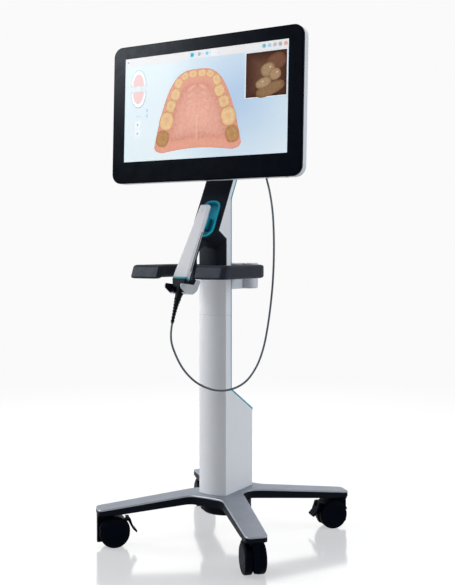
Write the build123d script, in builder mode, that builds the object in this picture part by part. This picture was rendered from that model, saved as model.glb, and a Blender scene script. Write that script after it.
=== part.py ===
from build123d import *
import os
from math import atan, cos, pi, radians, sin, tan

os.makedirs("parts", exist_ok=True)

# Frame: X to the right, Y to the back, Z up, origin on the floor under the column.
# All lengths are in millimetres and all angles in degrees.

# Overlap of cutting tools with open air
cut_margin = 0.5
# Distance within which an edge or corner counts as lying on a plane
pick_margin = 0.1

# Base
leg_angles = {"front_right": -47.0, "front_left": -133.0, "rear_left": 133.0, "rear_right": 47.0}
leg_reach = 336.0
leg_tip_width = 52.0
leg_root_width = 66.0
leg_tip_round = 12.0
hub_width = 120.0
hub_depth = 194.0
hub_notch_round = 32.0
hub_top = 124.0
hub_flat_radius = 86.0
hub_flat_blend = 300.0
leg_tip_top = 97.0
leg_tip_bottom = 84.0
leg_tip_flat = 55.0
cover_thickness = 4.0
cover_edge_round = 2.2
frame_hub_thickness = 18.0
rib_wall = 9.0
rib_start = 96.0
rib_end_inset = 54.0
rib_depth = 7.0
rib_count = 3
rib_round = 6.0
hub_block_radius = 66.0
hub_block_height = 26.0
hub_dish_radius = 61.0
hub_dish_depth = 8.0
hub_dish_round = 7.0

# Casters
caster_inset = 20.0
caster_trail = 22.0
wheel_radius = 37.5
wheel_width = 19.0
wheel_gap = 14.0
wheel_hub_radius = 12.0
wheel_outer_round = 5.0
wheel_inner_round = 1.5
wheel_web = 5.0
wheel_dish = 6.0
disc_radius = 30.5
disc_groove = 1.2
web_clearance = 0.7
hood_gap = 1.2
hood_wall = 2.0
hood_half_width = 23.0
caster_outer_wall = 20.0
web_floor_gap = 14.0
neck_half_width = 14.0
neck_half_length = 19.0
neck_thickness = 4.0
race_height = 2.6
race_radius = 17.0
swivel_gap = 0.4
stem_radius = 5.5
stem_length = 7.0
axle_radius = 4.0
axle_clearance = 0.05
fit_clearance = 0.2
pedal_pivot_reach = 45.0
pedal_pivot_angle = 40.0
pedal_boss_radius = 5.0
pedal_pin_radius = 2.0
pedal_half_width = 17.0
pedal_slot_gap = 0.5
pedal_slot_radius = 12.0
pedal_slot_size = (28.0, 40.0)
pedal_slot_offset = (9.0, -6.0)
pedal_profile = [
    (3.5, 4.5),
    (-5.5, 4.0),
    (-9.5, -8.0),
    (-13.5, -19.0),
    (-23.0, -29.0),
    (-21.0, -33.0),
    (-11.5, -24.0),
    (-7.5, -15.5),
    (-3.0, -8.5),
]

# Column
column_width = 79.0
column_front_y = -66.0
column_bulge = 9.0
column_split_y = -41.5
column_wall = 3.0
column_joint_z = 580.0
column_seam = 0.8
trim_thickness = 4.5
housing_rear_y = 72.0
housing_rear_height = 328.0
housing_slope = 30.4
housing_wall = 3.5
slope_trim_thickness = 4.5
slope_fillet = 12.0
collar_bottom_z = 690.0
collar_depth = 4.0

# Leaning arm
neck_y = -103.0
neck_z = 792.0
arm_lean = 28.74
arm_cover_thickness = 3.0
arm_core_thickness = 11.0
arm_trim_thickness = 5.0
arm_length = 222.0
chin_drop = 24.0
bend_round = 30.0
arm_cut_depth = 120.0
head_reach = 22.7
head_radius = 17.0
head_half_width = 24.0
neck_step = 2.0

# Pocket for the wand's head
pocket_width = 53.0
pocket_length = 105.0
pocket_centre = 35.0
pocket_round = 22.0
pocket_rim = 5.0
pocket_rim_height = 2.5
pocket_rim_round = 2.2
pocket_depth = 10.0
pocket_wall = 2.0
pocket_rest_width = 12.0
pocket_rest_length = 36.0
pocket_rest_round = 5.0

# Wand
wand_y = -200.1
wand_z = 671.2
wand_lean = 31.4
wand_length = 210.0
wand_bottom_width = 40.5
wand_bottom_depth = 16.0
wand_top_width = 27.0
wand_top_depth = 11.0
wand_rear = -2.5
wand_round = 3.5
wand_top_round = 1.5
trim_ring_thickness = 5.0
cap_length = 19.0
cap_end_width = 36.0
cap_end_depth = 25.0
cap_end_centre = 1.0
cap_end_round = 6.0
panel_width = 6.0
panel_length = 113.0
panel_centre = 76.0
panel_back = 6.5
panel_depth = 1.2
panel_round = 2.6
button_width = 4.2
button_length = 24.0
button_centre = 105.0
button_depth = 4.0
button_proud = 0.8
button_travel = 0.8
indicator_width = 4.0
indicator_length = 9.0
indicator_centre = 192.0
scan_head_width = 17.0
scan_head_length = 48.0
scan_head_depth = 9.0
scan_head_centre = 174.0
scan_head_round = 4.0
scan_head_taper = 4.0
window_width = 8.0
window_length = 17.0
window_depth = 1.2
window_round = 2.0

# Strain relief and cable of the wand
relief_top_radius = 12.0
relief_flare = 2.1
relief_end_radius = 3.4
relief_rib_proud = 1.0
relief_rib_thickness = 3.6
relief_rib_count = 8
relief_first_rib = 0.34
relief_last_rib = 0.94
relief_stations = 9
relief_end = (0.0, -247.5, 571.0)
relief_reach = 38.0
cable_diameter = 5.0
cable_first_run = 34.0
cable_route = [
    (12.0, -252.0, 496.0),
    (34.0, -246.0, 457.0),
    (64.0, -226.0, 424.0),
    (98.0, -181.0, 406.0),
    (130.0, -132.0, 420.0),
    (151.0, -107.0, 461.0),
    (165.0, -97.5, 508.0),
    (174.0, -94.0, 560.0),
    (182.0, -93.5, 615.0),
    (188.5, -95.0, 670.0),
    (192.5, -98.0, 725.0),
    (193.5, -100.0, 780.0),
    (189.5, -98.0, 835.0),
    (177.0, -90.5, 886.0),
    (159.0, -78.0, 925.0),
    (143.0, -48.0, 945.0),
    (128.0, -17.0, 957.0),
]
cable_last_run = 28.0
plug_radius = 6.5
plug_length = 26.0
plug_neck_radius = 4.2
plug_neck_length = 9.0
plug_chamfer = 0.8
socket_radius = 9.0
socket_height = 6.0
socket_inset = 26.0

# Cradle
spine_width = 16.0
spine_round = 9.0
spine_profile = [
    (-105.0, 774.4),
    (-148.0, 750.0),
    (-160.5, 724.0),
    (-160.5, 696.0),
    (-171.0, 664.0),
    (-163.0, 658.0),
    (-151.0, 696.0),
    (-151.0, 724.0),
    (-139.0, 745.0),
    (-95.0, 765.0),
]
cup_profile_points = [
    (-33.5, -26.5),
    (-33.5, -37.0),
    (-3.0, -37.5),
    (24.0, -25.5),
    (36.5, -8.0),
    (36.0, 20.0),
    (20.5, 14.0),
    (18.8, -2.0),
]
cup_rounds = [2.0, 7.0, 18.0, 12.0, 12.0, 3.0, 2.0, 8.0]
cup_half_width = 23.1
cup_wall = 1.5
cup_cheek = 1.0
cup_floor_front = -6.0
cup_back = 13.8
cup_slot_width = 24.6
rest_gap = 0.2

# Handle ring
ring_half_width = 137.0
ring_front_y = -238.0
ring_front_lean = 14.0
ring_rear_y = -17.0
ring_thickness = 24.0
ring_rear_thickness = 19.5
ring_bottom_z = 675.0
ring_height = 33.0
ring_front_round = 16.0
ring_rear_round = 40.0
ring_gap_half = 55.0
ring_edge_round = 5.0
ring_edge_middle = 1.5
bracket_bottom_z = 645.0
bracket_top_z = 711.0
bracket_depth = 57.0
power_box_half_width = 67.0
power_box_depth = 46.0
power_box_round = 20.0
power_box_edge = 5.0

# Display
display_width = 552.0
display_height = 356.0
display_y = -115.0
display_z = 1095.0
display_tilt = 2.0
display_round = 26.0
bezel_thickness = 8.0
bezel_edge_round = 2.5
rim_depth = 18.0
rim_step = 1.0
taper_depth = 20.0
taper_inset = 70.0
bulge_width = 330.0
bulge_height = 210.0
bulge_depth = 17.0
bulge_centre = -20.0
bulge_round = 24.0
screen_width = 476.0
screen_height = 268.0
screen_rise = 11.3
screen_thickness = 1.2
screen_recess = 1.4
vesa_plate = 120.0
vesa_pitch = 100.0
vesa_thickness = 4.0
vesa_centre = -40.0
vesa_round = 8.0
ear_thickness = 6.0
ear_gap = 0.6
ear_top = 4.0
ear_bottom = -92.0
tilt_pin_radius = 5.0
tilt_pin_head_radius = 9.0
tilt_pin_head = 3.0
screw_radius = 2.0
screw_head_radius = 4.0
screw_head = 2.5
screw_length = 10.0
slot_count = 9
slot_pitch = 18.0
slot_length = 9.0
slot_width = 4.0
slot_depth = 3.0
power_button_radius = 5.0
power_button_length = 6.0
power_button_proud = 1.0
power_button_inset = 46.0
power_button_travel = 0.8

# Derived values
caster_pivot_radius = leg_reach - caster_inset
rib_span = leg_reach - rib_end_inset - rib_start
rib_gap = (rib_span - (rib_count - 1) * rib_wall) / rib_count
column_half = column_width / 2
trim_rear_y = column_split_y + trim_thickness
lean_sin = sin(radians(arm_lean))
lean_cos = cos(radians(arm_lean))
blade = Plane(origin=(0, neck_y, neck_z), x_dir=(1, 0, 0), z_dir=(0, -lean_cos, lean_sin))
arm_thickness = arm_cover_thickness + arm_core_thickness + arm_trim_thickness
wand_sin = sin(radians(wand_lean))
wand_cos = cos(radians(wand_lean))
wand = Plane(origin=(0, wand_y, wand_z), x_dir=(1, 0, 0), z_dir=(0, wand_sin, wand_cos))
tilt_sin = sin(radians(display_tilt))
tilt_cos = cos(radians(display_tilt))
display = Plane(
    origin=(0, display_y, display_z), x_dir=(1, 0, 0), z_dir=(0, -tilt_cos, tilt_sin)
)
side = Plane.YZ
hinge = blade.from_local_coords((0, arm_length + head_reach, -arm_thickness / 2))
display_depth = bezel_thickness + rim_depth + taper_depth + bulge_depth


def save(solid, name):
    solid.label = name
    export_step(solid, f"parts/{name}.step")


def yz(point):
    return (point.Y, point.Z)


def blade_point(along, out):
    return yz(blade.from_local_coords((0, along, out)))


def wand_point(back, along):
    return yz(wand.from_local_coords((0, back, along)))


def display_point(up, out):
    return yz(display.from_local_coords((0, up, out)))


def direction(frame, across, up, out):
    return frame.x_dir * across + frame.y_dir * up + frame.z_dir * out


# Base plan and its conical thickness


def base_plan():
    with BuildSketch() as plan:
        Rectangle(hub_width, hub_depth)
        for angle in leg_angles.values():
            with Locations(Location((0, 0, 0), (0, 0, angle))):
                Polygon(
                    (0, -leg_root_width / 2),
                    (leg_reach, -leg_tip_width / 2),
                    (leg_reach, leg_tip_width / 2),
                    (0, leg_root_width / 2),
                    align=None,
                )
        corners = plan.vertices().group_by(lambda v: v.center().length > 0.7 * leg_reach)
        fillet(corners[0], hub_notch_round)
        tips = plan.vertices().filter_by(lambda v: v.center().length > 0.9 * leg_reach)
        fillet(tips, leg_tip_round)
    return plan.sketch


def cone_profile(upper, lower):
    with BuildSketch(Plane.XZ) as profile:
        Polygon((0, upper[0][1]), *upper, *reversed(lower), (0, lower[0][1]), align=None)
        ends = (hub_flat_radius - pick_margin, hub_flat_radius + pick_margin)
        fillet(profile.vertices().filter_by_position(Axis.X, *ends), hub_flat_blend)
    return profile.sketch


rim_radius = leg_reach + leg_tip_round
frame_top = hub_top - cover_thickness
frame_bottom = frame_top - frame_hub_thickness
cover_upper = [(hub_flat_radius, hub_top), (rim_radius, leg_tip_top)]
cover_lower = [(r, z - cover_thickness) for r, z in cover_upper]
frame_lower = [
    (hub_block_radius + fit_clearance, frame_bottom),
    (leg_reach - leg_tip_flat, leg_tip_bottom),
    (rim_radius, leg_tip_bottom),
]
pivots = {
    corner: Vector(cos(radians(a)), sin(radians(a)), 0) * caster_pivot_radius
    for corner, a in leg_angles.items()
}



def on_cover_rim(edge):
    middle = edge.position_at(0.5)
    radius = Vector(middle.X, middle.Y, 0).length
    fall = (hub_top - leg_tip_top) / (rim_radius - hub_flat_radius)
    top = hub_top - fall * max(0.0, radius - hub_flat_radius)
    if edge.geom_type == GeomType.CIRCLE and edge.arc_center.cross(Vector(0, 0, 1)).length < pick_margin:
        return False
    return middle.Z > top - cover_thickness / 4


with BuildPart() as base_frame:
    revolve(cone_profile(cover_lower, frame_lower), Axis.Z)
    extrude(base_plan(), amount=2 * hub_top, mode=Mode.INTERSECT)
    for pivot in pivots.values():
        with Locations(Plane(origin=(pivot.X, pivot.Y, leg_tip_bottom), z_dir=(0, 0, -1))):
            Hole(stem_radius + axle_clearance, depth=stem_length + fit_clearance)
    for angle in leg_angles.values():
        with BuildSketch(Plane.XY):
            with Locations(Location((0, 0, 0), (0, 0, angle))):
                for rib in range(rib_count):
                    start = rib_start + rib * (rib_gap + rib_wall)
                    with Locations((start + rib_gap / 2, 0)):
                        RectangleRounded(rib_gap, leg_tip_width - 2 * rib_wall, rib_round)
        extrude(amount=leg_tip_bottom + rib_depth, mode=Mode.SUBTRACT)

with BuildPart() as base_cover:
    revolve(cone_profile(cover_upper, cover_lower), Axis.Z)
    extrude(base_plan(), amount=2 * hub_top, mode=Mode.INTERSECT)
    fillet(base_cover.edges().filter_by(on_cover_rim), cover_edge_round)

block_bottom = frame_bottom - hub_block_height
with BuildPart() as hub_block:
    with BuildSketch(Plane.XY.offset(block_bottom)):
        Circle(hub_block_radius)
    extrude(amount=hub_block_height)
    with BuildSketch(Plane.XY.offset(block_bottom)):
        Circle(hub_dish_radius)
    extrude(amount=-hub_dish_depth)
    fillet(hub_block.faces().sort_by(Axis.Z)[0].edges(), hub_dish_round)

# Column


def column_section(height, rear_y, inset=0.0):
    half = column_half - inset
    front = column_front_y + inset
    with BuildSketch(Plane.XY.offset(height)) as section:
        with BuildLine():
            ThreePointArc((-half, front), (0, front - column_bulge), (half, front))
            Polyline((half, front), (half, rear_y), (-half, rear_y), (-half, front))
        make_face()
    return section.sketch


def side_profile(*points):
    with BuildSketch(side) as profile:
        Polygon(*points, align=None)
    return profile.sketch


housing_tan = tan(radians(housing_slope))
slope_drop = slope_trim_thickness / cos(radians(housing_slope))


def slope_height(y):
    return housing_rear_height + (housing_rear_y - y) * housing_tan


column_length = column_joint_z - hub_top
with BuildPart() as column_lower:
    extrude(column_section(hub_top, column_split_y), amount=column_length)
    cavity = column_section(hub_top, column_split_y - column_wall, column_wall)
    extrude(cavity, amount=column_length, mode=Mode.SUBTRACT)
    rim = column_lower.faces().sort_by(Axis.Z)[-1].outer_wire().edges()
    chamfer(rim.sort_by(Axis.Y)[:-1], column_seam)

with BuildPart() as rear_housing:
    outer = side_profile(
        (column_split_y, hub_top),
        (housing_rear_y, hub_top),
        (housing_rear_y, slope_height(housing_rear_y) - slope_drop),
        (column_split_y, slope_height(column_split_y) - slope_drop),
    )
    extrude(outer, amount=column_half, both=True)
    fillet(rear_housing.edges().filter_by(Axis.Z).group_by(Axis.Y)[-1], housing_wall)
    with BuildSketch(Plane.XY.offset(hub_top)):
        with Locations((0, (column_split_y + housing_rear_y) / 2)):
            Rectangle(
                column_width - 2 * housing_wall,
                housing_rear_y - column_split_y - 2 * housing_wall,
            )
    extrude(amount=housing_rear_height - hub_top - 3 * housing_wall, mode=Mode.SUBTRACT)

# Teal trim: the slanted lid of the housing, the strip up the column and along the arm

bend_out = -arm_thickness
arm_inner_out = bend_out + arm_trim_thickness


def blade_z_at(y, out):
    slope = lean_sin / lean_cos
    foot = blade_point(0, out)
    return foot[1] + (y - foot[0]) / slope


with BuildPart() as rear_trim:
    with BuildSketch(side) as trim_profile:
        Polygon(
            (housing_rear_y, slope_height(housing_rear_y)),
            (trim_rear_y, slope_height(trim_rear_y)),
            (trim_rear_y, blade_z_at(trim_rear_y, bend_out)),
            blade_point(arm_length, bend_out),
            blade_point(arm_length, arm_inner_out),
            (column_split_y, blade_z_at(column_split_y, arm_inner_out)),
            (column_split_y, slope_height(column_split_y) - slope_drop),
            (housing_rear_y, slope_height(housing_rear_y) - slope_drop),
            align=None,
        )
        slope_corner = (trim_rear_y, slope_height(trim_rear_y))
        fillet(trim_profile.vertices().sort_by_distance(slope_corner)[0], slope_fillet)
        bend_corner = (trim_rear_y, blade_z_at(trim_rear_y, bend_out))
        fillet(trim_profile.vertices().sort_by_distance(bend_corner)[0], bend_round)
    extrude(amount=column_half, both=True)

# Leaning arm: outline on the blade plane with a curved chin


def arm_outline(out, chin_shift):
    half = column_half
    drop = chin_shift - chin_drop
    with BuildSketch(blade.offset(out)) as outline:
        with BuildLine():
            ThreePointArc((-half, chin_shift), (0, drop), (half, chin_shift))
            Polyline(
                (half, chin_shift), (half, arm_length), (-half, arm_length), (-half, chin_shift)
            )
        make_face()
    return outline.sketch


def pocket_outline(out, inset=0.0):
    with BuildSketch(blade.offset(out)) as outline:
        with Locations((0, pocket_centre)):
            RectangleRounded(
                pocket_width - 2 * inset, pocket_length - 2 * inset, pocket_round - inset
            )
    return outline.sketch


collar_rear_y = column_front_y + collar_depth
arm_front_region = side_profile(
    (neck_y - column_width, collar_bottom_z),
    (column_split_y, collar_bottom_z),
    (column_split_y, blade_z_at(column_split_y, arm_inner_out)),
    blade_point(arm_length, arm_inner_out),
    blade_point(arm_length, arm_thickness),
)

with BuildPart() as upper_shell:
    inner_out = -arm_cover_thickness
    extrude(arm_outline(inner_out, arm_cover_thickness), amount=-arm_cut_depth)
    extrude(arm_front_region, amount=column_half, both=True, mode=Mode.INTERSECT)
    back_strip = side_profile(
        (collar_rear_y, collar_bottom_z),
        (column_split_y, collar_bottom_z),
        (column_split_y, neck_z),
        (collar_rear_y, neck_z),
    )
    extrude(back_strip, amount=column_half, both=True)
    extrude(column_section(column_joint_z, column_split_y), amount=collar_bottom_z - column_joint_z)
    floor_out = -pocket_depth - pocket_wall
    extrude(pocket_outline(floor_out), amount=arm_thickness, mode=Mode.SUBTRACT)
    rim = upper_shell.faces().sort_by(Axis.Z)[0].edges()
    chamfer(rim.sort_by(Axis.Y)[:-1], column_seam)

with BuildPart() as arm_cover:
    extrude(arm_outline(0, 0), amount=-arm_cut_depth)
    front_only = side_profile(
        (neck_y - column_width, collar_bottom_z),
        (collar_rear_y, collar_bottom_z),
        (collar_rear_y, blade_z_at(collar_rear_y, -arm_cover_thickness)),
        blade_point(arm_length, -arm_cover_thickness),
        blade_point(arm_length, arm_thickness),
    )
    extrude(front_only, amount=column_half, both=True, mode=Mode.INTERSECT)
    extrude(
        arm_outline(-arm_cover_thickness, arm_cover_thickness), amount=-arm_cut_depth,
        mode=Mode.SUBTRACT,
    )
    extrude(pocket_outline(floor_out), amount=arm_thickness, mode=Mode.SUBTRACT)

with BuildPart() as collar:
    extrude(column_section(collar_bottom_z, collar_rear_y), amount=neck_z - collar_bottom_z)
    extrude(arm_outline(0, 0), amount=-arm_cut_depth, mode=Mode.SUBTRACT)

with BuildPart() as pocket_liner:
    extrude(pocket_outline(floor_out), amount=-floor_out + pocket_rim_height)
    rim_edges = pocket_liner.edges().filter_by(
        lambda e: blade.to_local_coords(e.center()).Z > pocket_rim_height - pick_margin
    )
    fillet(rim_edges, pocket_rim_round)
    extrude(
        pocket_outline(-pocket_depth, pocket_rim), amount=pocket_depth + pocket_rim_height,
        mode=Mode.SUBTRACT,
    )
    rest_out = wand_rear + scan_head_depth + rest_gap
    rest_centre = blade.to_local_coords(
        wand.from_local_coords((0, rest_out, scan_head_centre))
    )
    with BuildSketch(blade.offset(-pocket_depth)):
        with Locations((0, rest_centre.Y)):
            RectangleRounded(pocket_rest_width, pocket_rest_length, pocket_rest_round)
    extrude(amount=pocket_depth + 2 * rest_centre.Z)
    with BuildSketch(wand.offset(scan_head_centre - pocket_length)):
        with Locations((0, rest_out - pocket_length / 2)):
            Rectangle(pocket_width, pocket_length)
    extrude(amount=2 * pocket_length, mode=Mode.SUBTRACT)

# Arm head, hinge pin and the display's tilt bracket


def disc_at(centre, radius, plane_offset=0.0):
    with BuildSketch(side.offset(plane_offset)) as disc:
        with Locations(yz(centre)):
            Circle(radius)
    return disc.sketch


with BuildPart() as arm_head:
    extrude(disc_at(hinge, head_radius), amount=head_half_width, both=True)
    neck_block = side_profile(
        blade_point(arm_length, 0),
        blade_point(arm_length + head_reach, 0),
        blade_point(arm_length + head_reach, -arm_thickness),
        blade_point(arm_length, -arm_thickness),
    )
    extrude(neck_block, amount=head_half_width - neck_step, both=True)
    extrude(
        disc_at(hinge, tilt_pin_radius + axle_clearance), amount=head_half_width, both=True,
        mode=Mode.SUBTRACT,
    )

ear_inner = head_half_width + ear_gap
ear_outer = ear_inner + ear_thickness
plate_out = -display_depth
with BuildPart() as tilt_bracket:
    with BuildSketch(display.offset(plate_out - vesa_thickness)):
        with Locations((0, vesa_centre)):
            RectangleRounded(vesa_plate, vesa_plate, vesa_round)
    extrude(amount=vesa_thickness)
    ear_profile = side_profile(
        display_point(ear_top, plate_out - vesa_thickness / 2),
        display_point(ear_bottom, plate_out - vesa_thickness / 2),
        (hinge.Y, hinge.Z - head_radius),
        (hinge.Y, hinge.Z + head_radius),
    )
    for sign in (-1, 1):
        for shape in (ear_profile, disc_at(hinge, head_radius)):
            placed = Location((sign * (ear_inner + ear_thickness / 2), 0, 0)) * shape
            extrude(placed, amount=ear_thickness / 2, both=True)
    extrude(disc_at(hinge, tilt_pin_radius), amount=ear_outer, both=True, mode=Mode.SUBTRACT)
    with Locations(display.offset(plate_out - vesa_thickness)):
        with Locations((0, vesa_centre)):
            with GridLocations(vesa_pitch, vesa_pitch, 2, 2):
                Hole(screw_radius, depth=vesa_thickness)

with BuildPart() as tilt_pin:
    extrude(disc_at(hinge, tilt_pin_radius), amount=ear_outer, both=True)
    for sign in (-1, 1):
        middle = Location((sign * (ear_outer + tilt_pin_head / 2), 0, 0))
        extrude(middle * disc_at(hinge, tilt_pin_head_radius), amount=tilt_pin_head / 2, both=True)

# Display


def display_outline(out, inset=0.0, corner=display_round):
    with BuildSketch(display.offset(out)) as outline:
        RectangleRounded(display_width - 2 * inset, display_height - 2 * inset, corner)
    return outline.sketch


def screen_outline(out):
    with BuildSketch(display.offset(out)) as outline:
        with Locations((0, screen_rise)):
            Rectangle(screen_width, screen_height)
    return outline.sketch


with BuildPart() as display_bezel:
    extrude(display_outline(-bezel_thickness), amount=bezel_thickness)
    front = display_bezel.edges().filter_by(
        lambda e: display.to_local_coords(e.center()).Z > -pick_margin
    )
    fillet(front, bezel_edge_round)
    extrude(screen_outline(-screen_recess), amount=screen_recess, mode=Mode.SUBTRACT)

with BuildPart() as screen_panel:
    extrude(screen_outline(-screen_recess), amount=screen_thickness)

rim_out = -bezel_thickness - rim_depth
taper_out = rim_out - taper_depth
vent_up = bulge_centre + bulge_height / 2 - 2 * slot_length
with BuildPart() as display_rear_shell:
    extrude(display_outline(rim_out), amount=rim_depth)
    rim_edge = display_outline(rim_out, rim_step, display_round - rim_step)
    loft([rim_edge, display_outline(taper_out, taper_inset)])
    with BuildSketch(display.offset(plate_out)):
        with Locations((0, bulge_centre)):
            RectangleRounded(bulge_width, bulge_height, bulge_round)
    extrude(amount=bulge_depth + taper_depth / 2)
    with BuildSketch(display.offset(plate_out)):
        with Locations((0, vent_up)):
            with GridLocations(slot_pitch, 1, slot_count, 1):
                SlotOverall(slot_length, slot_width, rotation=90)
    extrude(amount=slot_depth, mode=Mode.SUBTRACT)
    with Locations(display.offset(plate_out)):
        with Locations((0, vesa_centre)):
            with GridLocations(vesa_pitch, vesa_pitch, 2, 2):
                Hole(screw_radius, depth=screw_length)
    button_out = -bezel_thickness - rim_depth / 2
    button_across = display_width / 2 - power_button_inset
    button_plane = Plane(
        origin=display.from_local_coords((button_across, -display_height / 2, button_out)),
        x_dir=(1, 0, 0), z_dir=-display.y_dir,
    )
    with BuildSketch(button_plane):
        Circle(power_button_radius + fit_clearance)
    extrude(amount=-power_button_length - power_button_travel, mode=Mode.SUBTRACT)

with BuildPart() as power_button:
    with BuildSketch(button_plane.offset(power_button_proud)):
        Circle(power_button_radius)
    extrude(amount=-power_button_length)

with BuildPart() as display_screws:
    with Locations(display.offset(plate_out - vesa_thickness)):
        with Locations((0, vesa_centre)):
            with GridLocations(vesa_pitch, vesa_pitch, 2, 2):
                Cylinder(screw_radius, screw_length, align=(Align.CENTER, Align.CENTER, Align.MIN))
                Cylinder(screw_head_radius, screw_head, align=(Align.CENTER, Align.CENTER, Align.MAX))

# Wand, in its own frame: local X across, local Y to the back, local Z up the handle

wand_front = wand_rear - wand_bottom_depth


def wand_section(along, width, depth, corner):
    with BuildSketch(wand.offset(along)) as section:
        with Locations((0, wand_rear - depth / 2)):
            RectangleRounded(width, depth, corner)
    return section.sketch


side_taper = atan((wand_bottom_width - wand_top_width) / 2 / wand_length)
front_taper = atan((wand_bottom_depth - wand_top_depth) / wand_length)


def wand_side(sign):
    return Plane(
        origin=wand.from_local_coords((sign * wand_bottom_width / 2, wand_rear - panel_back, 0)),
        x_dir=direction(wand, 0, sign, 0),
        z_dir=direction(wand, sign * cos(side_taper), 0, sin(side_taper)),
    )


wand_back = Plane(
    origin=wand.from_local_coords((0, wand_rear, 0)),
    x_dir=direction(wand, -1, 0, 0),
    z_dir=direction(wand, 0, 1, 0),
)
wand_face = Plane(
    origin=wand.from_local_coords((0, wand_front, 0)),
    x_dir=direction(wand, 1, 0, 0),
    z_dir=direction(wand, 0, -cos(front_taper), sin(front_taper)),
)


def pill(plane, offset, along, width, length):
    with BuildSketch(plane.offset(offset)) as shape:
        with Locations((0, along)):
            SlotOverall(length, width, rotation=90)
    return shape.sketch


def side_panel(plane, offset):
    with BuildSketch(plane.offset(offset)) as shape:
        with Locations((0, panel_centre)):
            RectangleRounded(panel_width, panel_length, panel_round)
    return shape.sketch


button_hole_width = button_width + 2 * fit_clearance
button_hole_length = button_length + 2 * fit_clearance
button_hole_depth = button_depth + button_travel + fit_clearance
with BuildPart() as wand_body:
    loft([
        wand_section(0, wand_bottom_width, wand_bottom_depth, wand_round),
        wand_section(wand_length, wand_top_width, wand_top_depth, wand_round),
    ])
    end_face = wand_body.faces().sort_by(Axis.Z)[-1]
    fillet(end_face.edges(), wand_top_round)
    for sign in (-1, 1):
        plane = wand_side(sign)
        recess = side_panel(plane, cut_margin)
        extrude(recess, amount=-panel_depth - cut_margin, mode=Mode.SUBTRACT)
        hole = pill(plane, cut_margin, button_centre, button_hole_width, button_hole_length)
        extrude(hole, amount=-button_hole_depth - cut_margin, mode=Mode.SUBTRACT)
    spot = pill(wand_face, cut_margin, indicator_centre, indicator_width, indicator_length)
    extrude(spot, amount=-panel_depth - cut_margin, mode=Mode.SUBTRACT)

with BuildPart() as wand_indicator:
    spot = pill(wand_face, 0, indicator_centre, indicator_width, indicator_length)
    extrude(spot, amount=-panel_depth)

wand_panels = {}
wand_buttons = {}
for name, sign in (("left", -1), ("right", 1)):
    plane = wand_side(sign)
    with BuildPart() as panel:
        extrude(side_panel(plane, 0), amount=-panel_depth)
        hole = pill(plane, 0, button_centre, button_hole_width, button_hole_length)
        extrude(hole, amount=-panel_depth, mode=Mode.SUBTRACT)
    wand_panels[name] = panel.part
    with BuildPart() as button:
        key = pill(plane, button_proud, button_centre, button_width, button_length)
        extrude(key, amount=-button_depth - button_proud)
    wand_buttons[name] = button.part


def head_outline(out, width, length, corner):
    with BuildSketch(wand_back.offset(out)) as outline:
        with Locations((0, scan_head_centre)):
            RectangleRounded(width, length, corner)
    return outline.sketch


with BuildPart() as scan_head:
    loft([
        head_outline(0, scan_head_width, scan_head_length, scan_head_round),
        head_outline(
            scan_head_depth, scan_head_width - scan_head_taper,
            scan_head_length - 2 * scan_head_taper, scan_head_round,
        ),
    ])
    glass = head_outline(scan_head_depth, window_width, window_length, window_round)
    extrude(glass, amount=-window_depth, mode=Mode.SUBTRACT)

with BuildPart() as scan_window:
    extrude(glass, amount=-window_depth)

with BuildPart() as wand_trim_ring:
    ring = wand_section(-trim_ring_thickness, wand_bottom_width, wand_bottom_depth, wand_round)
    extrude(ring, amount=trim_ring_thickness)

cap_bottom = -trim_ring_thickness - cap_length
with BuildPart() as wand_end_cap:
    with BuildSketch(wand.offset(cap_bottom)):
        with Locations((0, cap_end_centre)):
            RectangleRounded(cap_end_width, cap_end_depth, cap_end_round)
    with BuildSketch(wand.offset(-trim_ring_thickness)):
        with Locations((0, wand_rear - wand_bottom_depth / 2)):
            RectangleRounded(wand_bottom_width, wand_bottom_depth, wand_round)
    loft()

# Strain relief: a tapered core with ribs along a gentle bend

relief_start = wand.from_local_coords((0, cap_end_centre, cap_bottom))
relief_bend = relief_start - wand.z_dir * relief_reach
relief_stop = Vector(*relief_end)


def relief_plane(t):
    point = (
        relief_start * (1 - t) ** 2 + relief_bend * (2 * t * (1 - t)) + relief_stop * t**2
    )
    ahead = (relief_bend - relief_start) * (1 - t) + (relief_stop - relief_bend) * t
    return Plane(origin=point, x_dir=(1, 0, 0), z_dir=ahead.normalized())


def relief_radius(t):
    return relief_end_radius + (relief_top_radius - relief_end_radius) * (1 - t) ** relief_flare


with BuildPart() as strain_relief:
    for step in range(relief_stations):
        t = step / (relief_stations - 1)
        with BuildSketch(relief_plane(t)):
            Circle(relief_radius(t))
    loft(ruled=True)
    rib_stretch = relief_last_rib - relief_first_rib
    for rib in range(relief_rib_count):
        t = relief_first_rib + rib_stretch * rib / (relief_rib_count - 1)
        with BuildSketch(relief_plane(t)):
            Circle(relief_radius(t) + relief_rib_proud)
        extrude(amount=relief_rib_thickness / 2, both=True)

# Cable: straight runs joined by tangent arcs

socket_along = arm_length - socket_inset
socket_base = blade.from_local_coords((column_half, socket_along, -arm_thickness / 2))
plug_end_x = column_half + socket_height + plug_length + plug_neck_length
cable_stop = Vector(plug_end_x, socket_base.Y, socket_base.Z)
cable_points = [relief_stop, relief_stop + relief_plane(1).z_dir * cable_first_run]
cable_points += [Vector(*point) for point in cable_route]
cable_points += [cable_stop + Vector(cable_last_run, 0, 0), cable_stop]


def arc_radii(points):
    radii = []
    for before, corner, after in zip(points, points[1:], points[2:]):
        first, second = corner - before, after - corner
        turn = radians(first.get_angle(second))
        radii.append(0.45 * min(first.length, second.length) / tan(turn / 2))
    return radii


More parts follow.
